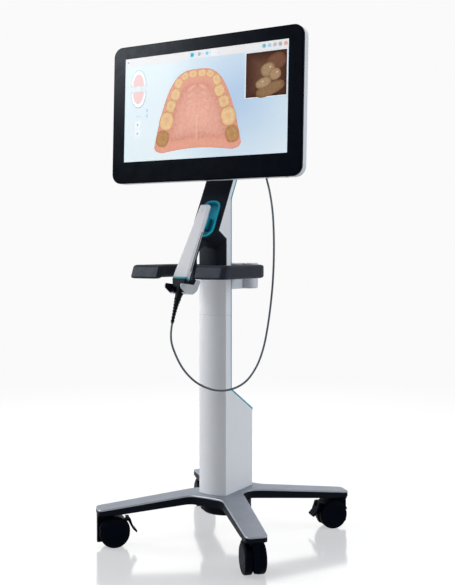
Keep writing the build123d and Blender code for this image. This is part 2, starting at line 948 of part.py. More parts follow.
radii = arc_radii(cable_points)
print("cable arc radii", [round(r) for r in radii])
with BuildPart() as wand_cable:
    with BuildLine() as path:
        FilletPolyline(*cable_points, radius=radii)
    cable_line = path.wires()[0]
    with BuildSketch(Plane(origin=relief_stop, z_dir=cable_line % 0)):
        Circle(cable_diameter / 2)
    sweep(path=cable_line)
section_volume = cable_line.length * pi * cable_diameter**2 / 4
print("cable length", round(cable_line.length, 1))
print("cable volume over section", round(wand_cable.part.volume / section_volume, 4))

plug_plane = Plane(origin=cable_stop, x_dir=(0, 1, 0), z_dir=(-1, 0, 0))
with BuildPart() as cable_plug:
    with BuildSketch(plug_plane):
        Circle(plug_neck_radius)
    extrude(amount=plug_neck_length)
    with BuildSketch(plug_plane.offset(plug_neck_length)):
        Circle(plug_radius)
    extrude(amount=plug_length)
    chamfer(cable_plug.edges().filter_by(GeomType.CIRCLE).group_by(SortBy.RADIUS)[-1], plug_chamfer)

with BuildPart() as cable_socket:
    with BuildSketch(Plane(origin=socket_base, x_dir=(0, 1, 0), z_dir=(1, 0, 0))):
        Circle(socket_radius)
    extrude(amount=socket_height)

# Cradle: a spine down from the chin and a forked cup

spine_bends = spine_profile[1:4] + spine_profile[6:9]
with BuildPart() as cradle_spine:
    with BuildSketch(side) as spine_side:
        Polygon(*spine_profile, align=None)
        corners = [spine_side.vertices().sort_by_distance(bend)[0] for bend in spine_bends]
        fillet(corners, spine_round)
    extrude(amount=spine_width / 2, both=True)
    extrude(arm_outline(0, 0), amount=-arm_cut_depth, mode=Mode.SUBTRACT)

cup_floor = cap_bottom - rest_gap
cup_inner = cup_half_width - cup_wall
liner_inner = cup_inner - cup_cheek


def cup_outline():
    with BuildSketch(side) as outline:
        points = [wand_point(*point) for point in cup_profile_points]
        Polygon(*points, align=None)
        for point, corner in zip(points, cup_rounds):
            fillet(outline.vertices().sort_by_distance(point)[0], corner)
    return outline.sketch


def cup_space(back, bottom, half):
    with BuildPart() as space:
        with BuildSketch(wand.offset(bottom)):
            with Locations((0, back - column_width / 2)):
                Rectangle(2 * half, column_width)
        extrude(amount=column_width)
        with BuildSketch(wand.offset(bottom)):
            with Locations((0, cup_floor_front - column_width / 2)):
                Rectangle(2 * half, column_width)
        extrude(amount=-column_width)
        with BuildSketch(wand.offset(bottom)):
            with Locations((0, cap_end_centre + cup_slot_width / 2 - column_width / 2)):
                SlotOverall(column_width, cup_slot_width, rotation=90)
        extrude(amount=-column_width)
    return space.part


with BuildPart() as cradle_cup:
    extrude(cup_outline(), amount=cup_half_width, both=True)
    shift = direction(wand, 0, -cup_wall, cup_wall)
    hollow = Location(shift) * cup_outline()
    extrude(hollow, amount=cup_inner, both=True, mode=Mode.SUBTRACT)
    add(cup_space(cup_back, cup_floor, cup_inner), mode=Mode.SUBTRACT)
    add(cradle_spine.part, mode=Mode.SUBTRACT)

with BuildPart() as cradle_liner:
    extrude(cup_outline(), amount=cup_inner, both=True)
    add(cradle_cup.part, mode=Mode.SUBTRACT)
    add(cup_space(cup_back, cup_floor, liner_inner), mode=Mode.SUBTRACT)
    add(cradle_spine.part, mode=Mode.SUBTRACT)

# Handle ring and the parts behind the column


def ring_outline(height, inset):
    rise = (height - ring_bottom_z) / ring_height
    front = ring_front_y + rise * ring_front_lean + inset
    half = ring_half_width - inset
    rear = ring_rear_y - inset
    gap = ring_gap_half + inset
    inner_half = ring_half_width - ring_thickness + inset
    inner_front = front - inset + ring_thickness - inset
    inner_rear = ring_rear_y - ring_rear_thickness + inset
    with BuildSketch(Plane.XY.offset(height)) as outline:
        with BuildLine():
            FilletPolyline(
                (gap, front), (half, front), (half, rear), (-half, rear), (-half, front),
                (-gap, front),
                radius=[ring_front_round, ring_rear_round, ring_rear_round, ring_front_round],
            )
            Line((-gap, front), (-gap, inner_front))
            FilletPolyline(
                (-gap, inner_front), (-inner_half, inner_front), (-inner_half, inner_rear),
                (inner_half, inner_rear), (inner_half, inner_front), (gap, inner_front),
                radius=[ring_front_round, ring_rear_round / 2, ring_rear_round / 2,
                        ring_front_round],
            )
            Line((gap, inner_front), (gap, front))
        make_face()
    return outline.sketch


ring_top_z = ring_bottom_z + ring_height
with BuildPart() as handle_ring:
    levels = [
        (ring_bottom_z, ring_edge_round),
        (ring_bottom_z + ring_edge_middle, ring_edge_middle),
        (ring_bottom_z + ring_edge_round, 0.0),
        (ring_top_z - ring_edge_round, 0.0),
        (ring_top_z - ring_edge_middle, ring_edge_middle),
        (ring_top_z, ring_edge_round),
    ]
    loft([ring_outline(height, inset) for height, inset in levels], ruled=True)

bracket_height = bracket_top_z - bracket_bottom_z
bracket_rear_y = trim_rear_y + bracket_depth
with BuildPart() as handle_bracket:
    bracket_side = side_profile(
        (trim_rear_y, bracket_bottom_z),
        (bracket_rear_y, bracket_bottom_z),
        (bracket_rear_y, bracket_top_z),
        (trim_rear_y, bracket_top_z),
    )
    extrude(bracket_side, amount=column_half, both=True)
    channel_rear_y = ring_rear_y + fit_clearance
    channel_bottom_z = ring_bottom_z - fit_clearance
    channel = side_profile(
        (trim_rear_y, channel_bottom_z),
        (channel_rear_y, channel_bottom_z),
        (channel_rear_y, ring_top_z),
        (trim_rear_y, ring_top_z),
    )
    extrude(channel, amount=column_half, both=True, mode=Mode.SUBTRACT)

with BuildPart() as power_box:
    with BuildSketch(Plane.XY.offset(bracket_bottom_z)):
        with Locations((0, bracket_rear_y + power_box_depth / 2)):
            RectangleRounded(2 * power_box_half_width, power_box_depth, power_box_round)
    extrude(amount=bracket_height)
    fillet(power_box.faces().sort_by(Axis.Z)[0].edges(), power_box_edge)
    fillet(power_box.faces().sort_by(Axis.Z)[-1].edges(), power_box_edge / 2)

# Casters

hood_radius = wheel_radius + hood_gap + hood_wall
web_half = wheel_gap / 2 - web_clearance
race_top = leg_tip_bottom - swivel_gap
neck_bottom = race_top - race_height - neck_thickness


def caster_plane(corner):
    angle = radians(leg_angles[corner])
    pivot = pivots[corner]
    return Plane(
        origin=pivot, x_dir=(cos(angle), sin(angle), 0), z_dir=(sin(angle), -cos(angle), 0)
    )


pedal_pivot = (
    -caster_trail - pedal_pivot_reach * cos(radians(pedal_pivot_angle)),
    wheel_radius + pedal_pivot_reach * sin(radians(pedal_pivot_angle)),
)


def caster_housing(plane, heading):
    with BuildPart() as housing:
        with BuildSketch(plane):
            with Locations((-caster_trail, wheel_radius)):
                Circle(hood_radius)
            Polygon(
                (-caster_trail, 0), (caster_outer_wall, 0),
                (caster_outer_wall, neck_bottom + neck_thickness),
                (-caster_trail, neck_bottom + neck_thickness), align=None,
            )
            with Locations(pedal_pivot):
                Circle(pedal_boss_radius)
            with Locations((-caster_trail, 0)):
                Rectangle(4 * hood_radius, 2 * web_floor_gap, mode=Mode.SUBTRACT)
            with Locations(pedal_pivot):
                Circle(pedal_pin_radius + axle_clearance, mode=Mode.SUBTRACT)
        extrude(amount=web_half, both=True)
        with BuildSketch(plane):
            with Locations((-caster_trail, wheel_radius)):
                Circle(hood_radius)
                Circle(wheel_radius + hood_gap, mode=Mode.SUBTRACT)
                Polygon(
                    (0, 0), (3 * hood_radius, hood_radius), (3 * hood_radius, -3 * hood_radius),
                    (-3 * hood_radius, -3 * hood_radius), (-3 * hood_radius, 3 * hood_radius),
                    mode=Mode.SUBTRACT, align=None,
                )
        extrude(amount=hood_half_width, both=True)
        with BuildSketch(Plane.XY.offset(neck_bottom)):
            with Locations(Location(plane.origin, (0, 0, heading))):
                Rectangle(2 * neck_half_length, 2 * neck_half_width)
        extrude(amount=neck_thickness)
        stem_plane = Plane(origin=plane.origin)
        with BuildSketch(stem_plane.offset(neck_bottom + neck_thickness)):
            Circle(race_radius)
        extrude(amount=race_top - neck_bottom - neck_thickness)
        with BuildSketch(stem_plane.offset(race_top)):
            Circle(stem_radius)
        extrude(amount=stem_length + swivel_gap)
        with BuildSketch(plane.offset(-hood_half_width)):
            with Locations((-caster_trail, wheel_radius)):
                Circle(axle_radius)
        extrude(amount=2 * hood_half_width, mode=Mode.SUBTRACT)
    return housing.part


def caster_axle(plane):
    length = wheel_gap + 2 * (wheel_width - wheel_web)
    with BuildPart() as axle:
        with BuildSketch(plane.offset(-length / 2)):
            with Locations((-caster_trail, wheel_radius)):
                Circle(axle_radius)
        extrude(amount=length)
    return axle.part


def caster_wheel(plane, sign):
    inner = plane.offset(sign * wheel_gap / 2)
    outer = plane.offset(sign * (wheel_gap / 2 + wheel_width))
    axle_at = (-caster_trail, wheel_radius)
    with BuildPart() as wheel:
        with BuildSketch(inner):
            with Locations(axle_at):
                Circle(wheel_radius)
        extrude(amount=sign * wheel_width)
        rims = wheel.edges().filter_by(GeomType.CIRCLE).sort_by(lambda e: abs(
            plane.to_local_coords(e.arc_center).Z))
        fillet(rims[-1], wheel_outer_round)
        fillet(rims[0], wheel_inner_round)
        with BuildSketch(outer):
            with Locations(axle_at):
                Circle(disc_radius)
                Circle(disc_radius - disc_groove, mode=Mode.SUBTRACT)
        extrude(amount=-sign * disc_groove, mode=Mode.SUBTRACT)
        with BuildSketch(inner):
            with Locations(axle_at):
                Circle(axle_radius + axle_clearance)
        bore_depth = wheel_width - wheel_web + fit_clearance
        extrude(amount=sign * bore_depth, mode=Mode.SUBTRACT)
        with BuildSketch(inner):
            with Locations(axle_at):
                Circle(disc_radius)
                Circle(wheel_hub_radius, mode=Mode.SUBTRACT)
        extrude(amount=sign * wheel_dish, mode=Mode.SUBTRACT)
    return wheel.part


def brake_pedal(plane):
    with BuildPart() as pedal:
        with BuildSketch(plane):
            with Locations(pedal_pivot):
                Polygon(*pedal_profile, align=None)
        extrude(amount=pedal_half_width, both=True)
        with BuildSketch(plane):
            with Locations(pedal_pivot):
                Circle(pedal_slot_radius)
                with Locations(pedal_slot_offset):
                    Rectangle(*pedal_slot_size)
        extrude(amount=web_half + pedal_slot_gap, both=True, mode=Mode.SUBTRACT)
        with BuildSketch(plane):
            with Locations(pedal_pivot):
                Circle(pedal_pin_radius)
        extrude(amount=pedal_half_width, both=True)
    return pedal.part


for corner, heading in leg_angles.items():
    plane = caster_plane(corner)
    save(caster_housing(plane, heading), f"caster_housing_{corner}")
    save(caster_axle(plane), f"caster_axle_{corner}")
    save(caster_wheel(plane, -1), f"wheel_left_{corner}")
    save(caster_wheel(plane, 1), f"wheel_right_{corner}")
    save(brake_pedal(plane), f"brake_pedal_{corner}")

# Named parts

parts = {
    "base_frame": base_frame,
    "base_cover": base_cover,
    "hub_block": hub_block,
    "column_lower": column_lower,
    "rear_housing": rear_housing,
    "rear_trim": rear_trim,
    "upper_shell": upper_shell,
    "arm_cover": arm_cover,
    "collar": collar,
    "pocket_liner": pocket_liner,
    "arm_head": arm_head,
    "tilt_bracket": tilt_bracket,
    "tilt_pin": tilt_pin,
    "display_bezel": display_bezel,
    "screen_panel": screen_panel,
    "display_rear_shell": display_rear_shell,
    "power_button": power_button,
    "display_screws": display_screws,
    "wand_body": wand_body,
    "wand_indicator": wand_indicator,
    "scan_head": scan_head,
    "scan_window": scan_window,
    "wand_trim_ring": wand_trim_ring,
    "wand_end_cap": wand_end_cap,
    "strain_relief": strain_relief,
    "wand_cable": wand_cable,
    "cable_plug": cable_plug,
    "cable_socket": cable_socket,
    "cradle_spine": cradle_spine,
    "cradle_cup": cradle_cup,
    "cradle_liner": cradle_liner,
    "handle_ring": handle_ring,
    "handle_bracket": handle_bracket,
    "power_box": power_box,
}
for name, builder in parts.items():
    save(builder.part, name)
for name in wand_panels:
    save(wand_panels[name], f"wand_panel_{name}")
    save(wand_buttons[name], f"wand_button_{name}")
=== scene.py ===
import math

import bpy
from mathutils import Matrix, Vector


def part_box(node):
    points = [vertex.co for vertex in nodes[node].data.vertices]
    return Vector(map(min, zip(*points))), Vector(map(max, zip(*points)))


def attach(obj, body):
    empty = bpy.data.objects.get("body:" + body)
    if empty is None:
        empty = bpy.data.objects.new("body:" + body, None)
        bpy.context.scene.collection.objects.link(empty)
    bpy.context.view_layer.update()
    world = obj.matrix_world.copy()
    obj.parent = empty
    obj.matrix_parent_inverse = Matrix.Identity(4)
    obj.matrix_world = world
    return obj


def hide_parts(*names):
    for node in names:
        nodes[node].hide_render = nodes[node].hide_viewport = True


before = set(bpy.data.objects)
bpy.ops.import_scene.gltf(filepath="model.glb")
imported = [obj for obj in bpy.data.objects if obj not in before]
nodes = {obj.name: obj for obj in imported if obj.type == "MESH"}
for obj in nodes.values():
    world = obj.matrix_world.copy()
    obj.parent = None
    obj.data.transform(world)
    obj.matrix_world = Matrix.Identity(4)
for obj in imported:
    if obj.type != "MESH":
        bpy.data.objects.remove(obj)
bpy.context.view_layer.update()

MM = 0.001


def add_object(name, data):
    made = bpy.data.objects.new(name, data)
    bpy.context.scene.collection.objects.link(made)
    return made


# Camera: the photograph's viewpoint in metres and degrees, its focal length and middle in pixels

photo_height = 585
focal_pixels = 927.56
optical_row = 273.08
film_height = 36.0
camera_place = Vector((1.2320, -2.0624, 0.7415))
camera_turn = 30.751
camera_drop = 1.355
camera_reach = 50.0


def make_camera():
    data = bpy.data.cameras.new("camera")
    data.sensor_fit = "VERTICAL"
    data.sensor_height = film_height
    data.lens = focal_pixels / photo_height * film_height
    data.shift_y = (optical_row - photo_height / 2) / photo_height
    data.clip_end = camera_reach
    camera = add_object("camera", data)
    camera.location = camera_place
    camera.rotation_euler = (math.radians(90 - camera_drop), 0, math.radians(camera_turn))
    bpy.context.scene.camera = camera


# Parts that every material is made of

specular_tint = (0.80, 0.90, 1.0)
grain_height = 0.2 * MM
# Edge span for rubbed wear and painted highlights; crevice span and samples for painted shade
edge_wear_and_sheen_span = (0.80, 0.99)
crevice_span = (0.25, 0.75)
crevice_samples = 8
evenly = (1.0, 1.0, 1.0)


def new_material(name):
    material = bpy.data.materials.new(name)
    material.use_nodes = True
    return material, material.node_tree, material.node_tree.nodes["Principled BSDF"]


def noise(tree, scale, detail=3.0, stretch=evenly):
    coords = tree.nodes.new("ShaderNodeTexCoord")
    mapping = tree.nodes.new("ShaderNodeMapping")
    mapping.inputs["Scale"].default_value = stretch
    texture = tree.nodes.new("ShaderNodeTexNoise")
    texture.inputs["Scale"].default_value = scale
    texture.inputs["Detail"].default_value = detail
    tree.links.new(coords.outputs["Object"], mapping.inputs["Vector"])
    tree.links.new(mapping.outputs["Vector"], texture.inputs["Vector"])
    return texture.outputs["Fac"]


def spread(tree, value, low, high, start=0.3, stop=0.7):
    """Maps a value from start and stop to low and high."""
    scaled = tree.nodes.new("ShaderNodeMapRange")
    scaled.inputs["From Min"].default_value = start
    scaled.inputs["From Max"].default_value = stop
    scaled.inputs["To Min"].default_value = low
    scaled.inputs["To Max"].default_value = high
    tree.links.new(value, scaled.inputs["Value"])
    return scaled.outputs["Result"]


def blend_colours(tree, factor, first, second):
    mix = tree.nodes.new("ShaderNodeMix")
    mix.data_type = "RGBA"
    tree.links.new(factor, mix.inputs["Factor"])
    for socket, colour in ((mix.inputs["A"], first), (mix.inputs["B"], second)):
        if isinstance(colour, bpy.types.NodeSocket):
            tree.links.new(colour, socket)
        else:
            socket.default_value = (*colour, 1.0)
    return mix.outputs["Result"]


def edge_mask(tree, radius):
    """Bright along sharp edges, where the rounded normal turns away from the flat one. These take
    rubbed wear and a painted highlight.
    """
    soft = tree.nodes.new("ShaderNodeBevel")
    soft.inputs["Radius"].default_value = radius
    plain = tree.nodes.new("ShaderNodeNewGeometry")
    likeness = tree.nodes.new("ShaderNodeVectorMath")
    likeness.operation = "DOT_PRODUCT"
    tree.links.new(soft.outputs["Normal"], likeness.inputs[0])
    tree.links.new(plain.outputs["Normal"], likeness.inputs[1])
    return spread(tree, likeness.outputs["Value"], 1.0, 0.0, *edge_wear_and_sheen_span)


def crevice_shade_mask(tree, reach):
    """Bright where other surfaces lie within reach: seams, grooves and recesses. These take
    painted shade.
    """
    near = tree.nodes.new("ShaderNodeAmbientOcclusion")
    near.samples = crevice_samples
    near.inputs["Distance"].default_value = reach
    return spread(tree, near.outputs["AO"], 1.0, 0.0, *crevice_span)


def ray_is(tree, kinds):
    """One for a ray of any of these kinds, else zero."""
    path = tree.nodes.new("ShaderNodeLightPath")
    found = path.outputs[kinds[0]]
    for kind in kinds[1:]:
        either = tree.nodes.new("ShaderNodeMath")
        either.operation = "MAXIMUM"
        tree.links.new(found, either.inputs[0])
        tree.links.new(path.outputs[kind], either.inputs[1])
        found = either.outputs["Value"]
    return found


def surface(name, colour, shade=0.85, rough=(0.32, 0.42), metal=0.0, gloss=0.5, mottle=25.0,
            grain=1400.0, depth=0.08, edge=0.6, edge_wear_and_sheen=None, seam=3.0, crevice_shade=0.55, stretch=evenly):
    """A moulded or painted surface: cloudy colour, uneven gloss, fine grain, soft edges, edges
    lighter with rubbed wear and a painted highlight, and painted shade in seams. Shade and grime
    are shares of the colour, grime the share left in the painted shade, mottle and grain are noise
    scales, edge and seam are in millimetres, and worn is the colour of the edges: rubbed wear and
    a painted highlight."""
    material, tree, shader = new_material(name)
    cloud = noise(tree, mottle, stretch=stretch)
    darker = tuple(shade * c for c in colour)
    tint = blend_colours(tree, spread(tree, cloud, 0.0, 1.0), darker, colour)
    # Edges take a lighter colour: partly rubbed wear, partly a painted highlight
    if edge_wear_and_sheen:
        tint = blend_colours(tree, edge_mask(tree, edge * MM), tint, edge_wear_and_sheen)
    # Painted shade: the colour darkens where other surfaces lie near, in seams, grooves and
    # recesses
    crevice_shaded = tuple(crevice_shade * c for c in colour)
    tint = blend_colours(tree, crevice_shade_mask(tree, seam * MM), tint, crevice_shaded)
    tree.links.new(tint, shader.inputs["Base Color"])
    smear = noise(tree, 4 * mottle, detail=5.0, stretch=stretch)
    tree.links.new(spread(tree, smear, *rough), shader.inputs["Roughness"])
    shader.inputs["Metallic"].default_value = metal
    shader.inputs["Specular IOR Level"].default_value = gloss
    shader.inputs["Specular Tint"].default_value = (*specular_tint, 1.0)
    rounding = tree.nodes.new("ShaderNodeBevel")
    rounding.inputs["Radius"].default_value = edge * MM
    bump = tree.nodes.new("ShaderNodeBump")
    bump.inputs["Strength"].default_value = depth
    bump.inputs["Distance"].default_value = grain_height
    tree.links.new(noise(tree, grain, detail=2.0, stretch=stretch), bump.inputs["Height"])
    tree.links.new(rounding.outputs["Normal"], bump.inputs["Normal"])
    tree.links.new(bump.outputs["Normal"], shader.inputs["Normal"])
    return material


def dark_glass(name, colour, lighter=1.4, rough=(0.03, 0.10), coat_rough=0.03, mottle=300.0):
    """A polished window: slightly cloudy, under a clear coat."""
    material, tree, shader = new_material(name)
    pale = tuple(lighter * c for c in colour)
    tint = blend_colours(tree, spread(tree, noise(tree, mottle), 0.0, 1.0), colour, pale)
    tree.links.new(tint, shader.inputs["Base Color"])
    smear = noise(tree, 3 * mottle)
    tree.links.new(spread(tree, smear, *rough), shader.inputs["Roughness"])
    shader.inputs["Coat Weight"].default_value = 1.0
    shader.inputs["Coat Roughness"].default_value = coat_rough
    return material


def screen_glow(name, colour_of, fleck_shade, strength, fleck_scale=160.0, smear_scale=30.0,
                rough=(0.20, 0.30), gloss=0.02):
    """A lit picture: the colour is both diffuse and glowing, with fine darker flecks."""
    material, tree, shader = new_material(name)
    colour = colour_of(tree)
    darker = tree.nodes.new("ShaderNodeHueSaturation")
    darker.inputs["Value"].default_value = fleck_shade
    tree.links.new(colour, darker.inputs["Color"])
    fleck = spread(tree, noise(tree, fleck_scale, detail=5.0), 0.0, 1.0)
    picture = blend_colours(tree, fleck, darker.outputs["Color"], colour)
    tree.links.new(picture, shader.inputs["Base Color"])
    tree.links.new(picture, shader.inputs["Emission Color"])
    smear = noise(tree, smear_scale)
    tree.links.new(spread(tree, smear, *rough), shader.inputs["Roughness"])
    shader.inputs["Emission Strength"].default_value = strength
    shader.inputs["Specular IOR Level"].default_value = gloss
    return material


def painted_colour(tree):
    paint = tree.nodes.new("ShaderNodeVertexColor")
    paint.layer_name = "paint"
    return paint.outputs["Color"]


# The display's own frame: across, up and out of the screen's front

screen_tilt = math.radians(2.0)
screen_up = Vector((0, math.sin(screen_tilt), math.cos(screen_tilt)))
screen_out = Vector((0, -math.cos(screen_tilt), math.sin(screen_tilt)))
panel_low, panel_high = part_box("screen_panel")
panel_thickness = 1.2 * MM
screen_middle = (panel_low + panel_high) / 2 + screen_out * panel_thickness / 2
screen_half_width = (panel_high.x - panel_low.x) / 2
screen_half_height = 134.0 * MM
deep_spot = (100 * MM, 8 * MM)
deep_span = (0.02, 0.22)
DEEP_BLUE = (0.45, 0.59, 0.76)
PALE_BLUE = (0.735, 0.835, 0.875)


def on_screen(across, up, out):
    return screen_middle + Vector((across, 0, 0)) + screen_up * up + screen_out * out


def glow_colour(tree):
    """Pale blue that deepens round one spot right of the screen's middle."""
    coords = tree.nodes.new("ShaderNodeTexCoord")
    away = tree.nodes.new("ShaderNodeVectorMath")
    away.operation = "DISTANCE"
    away.inputs[1].default_value = on_screen(*deep_spot, 0)
    tree.links.new(coords.outputs["Object"], away.inputs[0])
    far = spread(tree, away.outputs["Value"], 0.0, 1.0, *deep_span)
    return blend_colours(tree, far, DEEP_BLUE, PALE_BLUE)


class Picture:
    """Flat painted shapes on the screen, in millimetres from its middle. Each shape lies a
    hair in front of the one before."""

    layer_step = 0.012

    def __init__(self):
        self.points = []
        self.faces = []
        self.colours = []
        self.layer = 1

    def rings(self, outline, middle, bands):
        """Bands from the outline inwards: (share of the way to the middle, colour)."""
        self.layer += 1
        count = len(outline)
        start = len(self.points)
        for share, colour in bands:
            for point in outline:
                x = point[0] + (middle[0] - point[0]) * share
                y = point[1] + (middle[1] - point[1]) * share
                self.points.append((x, y, self.layer * self.layer_step))
                self.colours.append(colour)
        for band in range(len(bands) - 1):
            for i in range(count):
                j = (i + 1) % count
                a, b = start + band * count, start + (band + 1) * count
                self.faces.append((a + i, a + j, b + j, b + i))
        # The innermost band closes in one point
        self.points.append((*middle, self.layer * self.layer_step))
        self.colours.append(bands[-1][1])
        last = start + (len(bands) - 1) * count
        for i in range(count):
            self.faces.append((last + i, last + (i + 1) % count, len(self.points) - 1))

    def plain(self, outline, colour, middle=None):
        if middle is None:
            middle = [sum(p[k] for p in outline) / len(outline) for k in (0, 1)]
        self.rings(outline, tuple(middle), [(0.0, colour), (0.5, colour)])

    def finish(self, name, material):
        """Turns the shapes into one mesh that moves with the display."""
        mesh = bpy.data.meshes.new(name)
        spots = [on_screen(x * MM, y * MM, z * MM) for x, y, z in self.points]
        mesh.from_pydata(spots, [], self.faces)
        paint = mesh.color_attributes.new("paint", "FLOAT_COLOR", "POINT")
        for spot, colour in zip(paint.data, self.colours):
            spot.color = (*colour, 1.0)
        mesh.materials.append(material)
        piece = add_object(name, mesh)
        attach(piece, "display")


def rectangle(left, low, right, high):
    return [(left, low), (right, low), (right, high), (left, high)]


def placed(centre, x, y, turn):
    """A point at x, y from the centre, turned about it."""
    return (
        centre[0] + x * math.cos(turn) - y * math.sin(turn),
        centre[1] + x * math.sin(turn) + y * math.cos(turn),
    )


def oval(centre, half_width, half_height, turn=0.0, power=2.0, count=28):
    """A rounded outline: an ellipse for power 2, squarer above it."""
    outline = []
    for step in range(count):
        angle = 2 * math.pi * step / count
        c, s = math.cos(angle), math.sin(angle)
        x = half_width * math.copysign(abs(c) ** (2 / power), c)
        y = half_height * math.copysign(abs(s) ** (2 / power), s)
        outline.append(placed(centre, x, y, turn))
    return outline


# The scanned arch in the middle of the screen

arch_middle = -15.0
arch_top = 88.0
arch_height = 190.0
arch_half_width = 128.0
arch_curve = 0.31
arch_bottom_rise = 9.0
heel_width = 24
heel_drop = 15
tooth_inset = 21.0
tooth_overlap = 0.5
GUM = (0.90, 0.42, 0.30)
GUM_EDGE = (0.78, 0.35, 0.26)
PALATE = (0.86, 0.43, 0.33)
PALATE_LIGHT = (0.95, 0.49, 0.38)
FOLD_RIM = (0.82, 0.40, 0.30)
FOLD = (0.96, 0.52, 0.41)
SEAM = (1.0, 0.58, 0.47)
TOOTH = (0.86, 0.56, 0.30)
TOOTH_EDGE = (0.66, 0.34, 0.17)
MOLAR_BROWN = (0.42, 0.19, 0.06)

# Teeth from the front of the arch to its ends: half length, half width, cusps, brownness
teeth = [
    (13.0, 10.0, False, 0.0), (12.0, 9.5, False, 0.0), (14.0, 12.0, False, 0.0),
    (15.5, 15.0, True, 0.0), (16.0, 15.5, True, 0.05), (24.0, 21.5, True, 0.0),
    (21.0, 19.0, True, 0.75),
]


def arch_half(depth):
    """Half the arch's width at this share of its height, from the top."""
    return arch_half_width * max(depth, 0.0) ** arch_curve


def arch_outline():
    """The gum's outline: two legs, rounded heels and a bottom that rises to the middle."""
    steps = 22
    right = []
    for step in range(steps + 1):
        depth = (step / steps) ** 2.2
        right.append((arch_half(depth), arch_top - depth * arch_height))
    corner = right[-1]
    low = corner[1] - heel_drop
    heel = [(corner[0] - 6, corner[1] - 10), (corner[0] - heel_width, low)]
    bottom = []
    for step in range(1, 8):
        share = step / 8
        x = (corner[0] - heel_width) * (1 - share)
        bottom.append((x, low + arch_bottom_rise * math.sin(share * math.pi / 2)))
    half = right + heel + bottom
    left = [(-x, y) for x, y in reversed(half) if x > 0.01]
    return [(arch_middle + x, y) for x, y in reversed(half + left)]


def browned(colour, brown):
    return tuple(a + (b - a) * brown for a, b in zip(colour, MOLAR_BROWN))


def draw_tooth(picture, centre, across, along, turn, cusps, brown):
    """One tooth seen from its biting side: a domed crown, with four cusps on a broad one."""
    body = browned(TOOTH, brown)
    rim = browned(TOOTH_EDGE, brown)
    light = tuple(min(1.0, 1.14 * c) for c in body)
    outline = oval(centre, along, across, turn, power=2.5)
    picture.rings(outline, centre, [(0.0, rim), (0.14, body), (0.45, light), (0.8, body)])
    if cusps:
        for side, ahead in ((-1, -1), (-1, 1), (1, -1), (1, 1)):
            cusp = placed(centre, 0.42 * along * ahead, 0.42 * across * side, turn)
            spot = oval(cusp, 0.30 * along, 0.30 * across, turn)
            picture.rings(spot, cusp, [(0.0, body), (0.5, light), (0.9, light)])


def draw_arch(picture):
    outline = arch_outline()
    heart = (arch_middle, arch_top - 0.6 * arch_height)
    picture.rings(outline, heart, [
        (0.0, GUM_EDGE), (0.05, GUM), (0.24, GUM), (0.34, GUM_EDGE), (0.5, PALATE),
        (0.8, PALATE_LIGHT),
    ])
    # Folds of the palate and the pale seam along its middle
    for row in range(4):
        for side in (-1, 1):
            spot = (arch_middle + side * (17 + 3 * row), arch_top - 46 - 17 * row)
            fold = oval(spot, 15, 4.5, side * -0.45)
            picture.rings(fold, spot, [(0.0, FOLD_RIM), (0.6, FOLD)])
    seam_middle = (arch_middle, arch_top - 135)
    picture.rings(oval(seam_middle, 3.5, 46), seam_middle, [(0.0, PALATE), (0.7, SEAM)])
    # The line that the teeth stand on, just inside the outline
    track = []
    steps = 400
    for step in range(steps + 1):
        depth = (step / steps) ** 2.4
        x = arch_half(depth) - tooth_inset * min(1.0, 4 * depth)
        y = arch_top - depth * arch_height - 0.55 * tooth_inset * (1 - min(1.0, 1.6 * depth))
        track.append((x, y))
    for side in (-1, 1):
        travelled = 0.0
        wanted = teeth[0][0]
        index = 0
        for before, after in zip(track, track[1:]):
            travelled += math.dist(before, after)
            if travelled >= wanted and index < len(teeth):
                along, across, cusps, brown = teeth[index]
                turn = math.atan2(after[1] - before[1], side * (after[0] - before[0]))
                centre = (arch_middle + side * after[0], after[1])
                draw_tooth(picture, centre, across, along, turn, cusps, brown)
                if index + 1 < len(teeth):
                    wanted += along + teeth[index + 1][0] - tooth_overlap
                index += 1


def draw_inset(picture):
    """The camera's live view in the corner: three crowns before a dark mouth."""
    picture.plain(rectangle(121, 1, 236, 112), (0.92, 0.94, 0.96))
    centre = (180, 60)
    picture.rings(rectangle(124, 3, 234, 110), centre, [
        (0.0, (0.060, 0.022, 0.013)), (0.3, (0.10, 0.040, 0.024)), (0.75, (0.17, 0.08, 0.045)),
    ])
    # Middle, half width, half height, colour of the rim and of the body
    shapes = [
        ((206, 84), 26, 20, (0.16, 0.062, 0.036), (0.20, 0.09, 0.055)),
        ((190, 20), 40, 15, (0.20, 0.105, 0.05), (0.31, 0.18, 0.09)),
        ((184, 66), 20, 17, (0.24, 0.13, 0.065), (0.43, 0.28, 0.16)),
        ((203, 54), 16, 14, (0.27, 0.15, 0.07), (0.46, 0.29, 0.17)),
        ((172, 36), 22, 12, (0.27, 0.15, 0.075), (0.47, 0.31, 0.18)),
    ]
    for middle, half_width, half_height, rim, body in shapes:
        outline = oval(middle, half_width, half_height, 0.3, power=2.4)
        picture.rings(outline, middle, [(0.0, rim), (0.3, body), (0.8, body)])
    for glint in ((190, 72), (208, 58), (170, 39)):
        picture.plain(oval(glint, 3.0, 1.6, 0.5), (0.80, 0.62, 0.50))


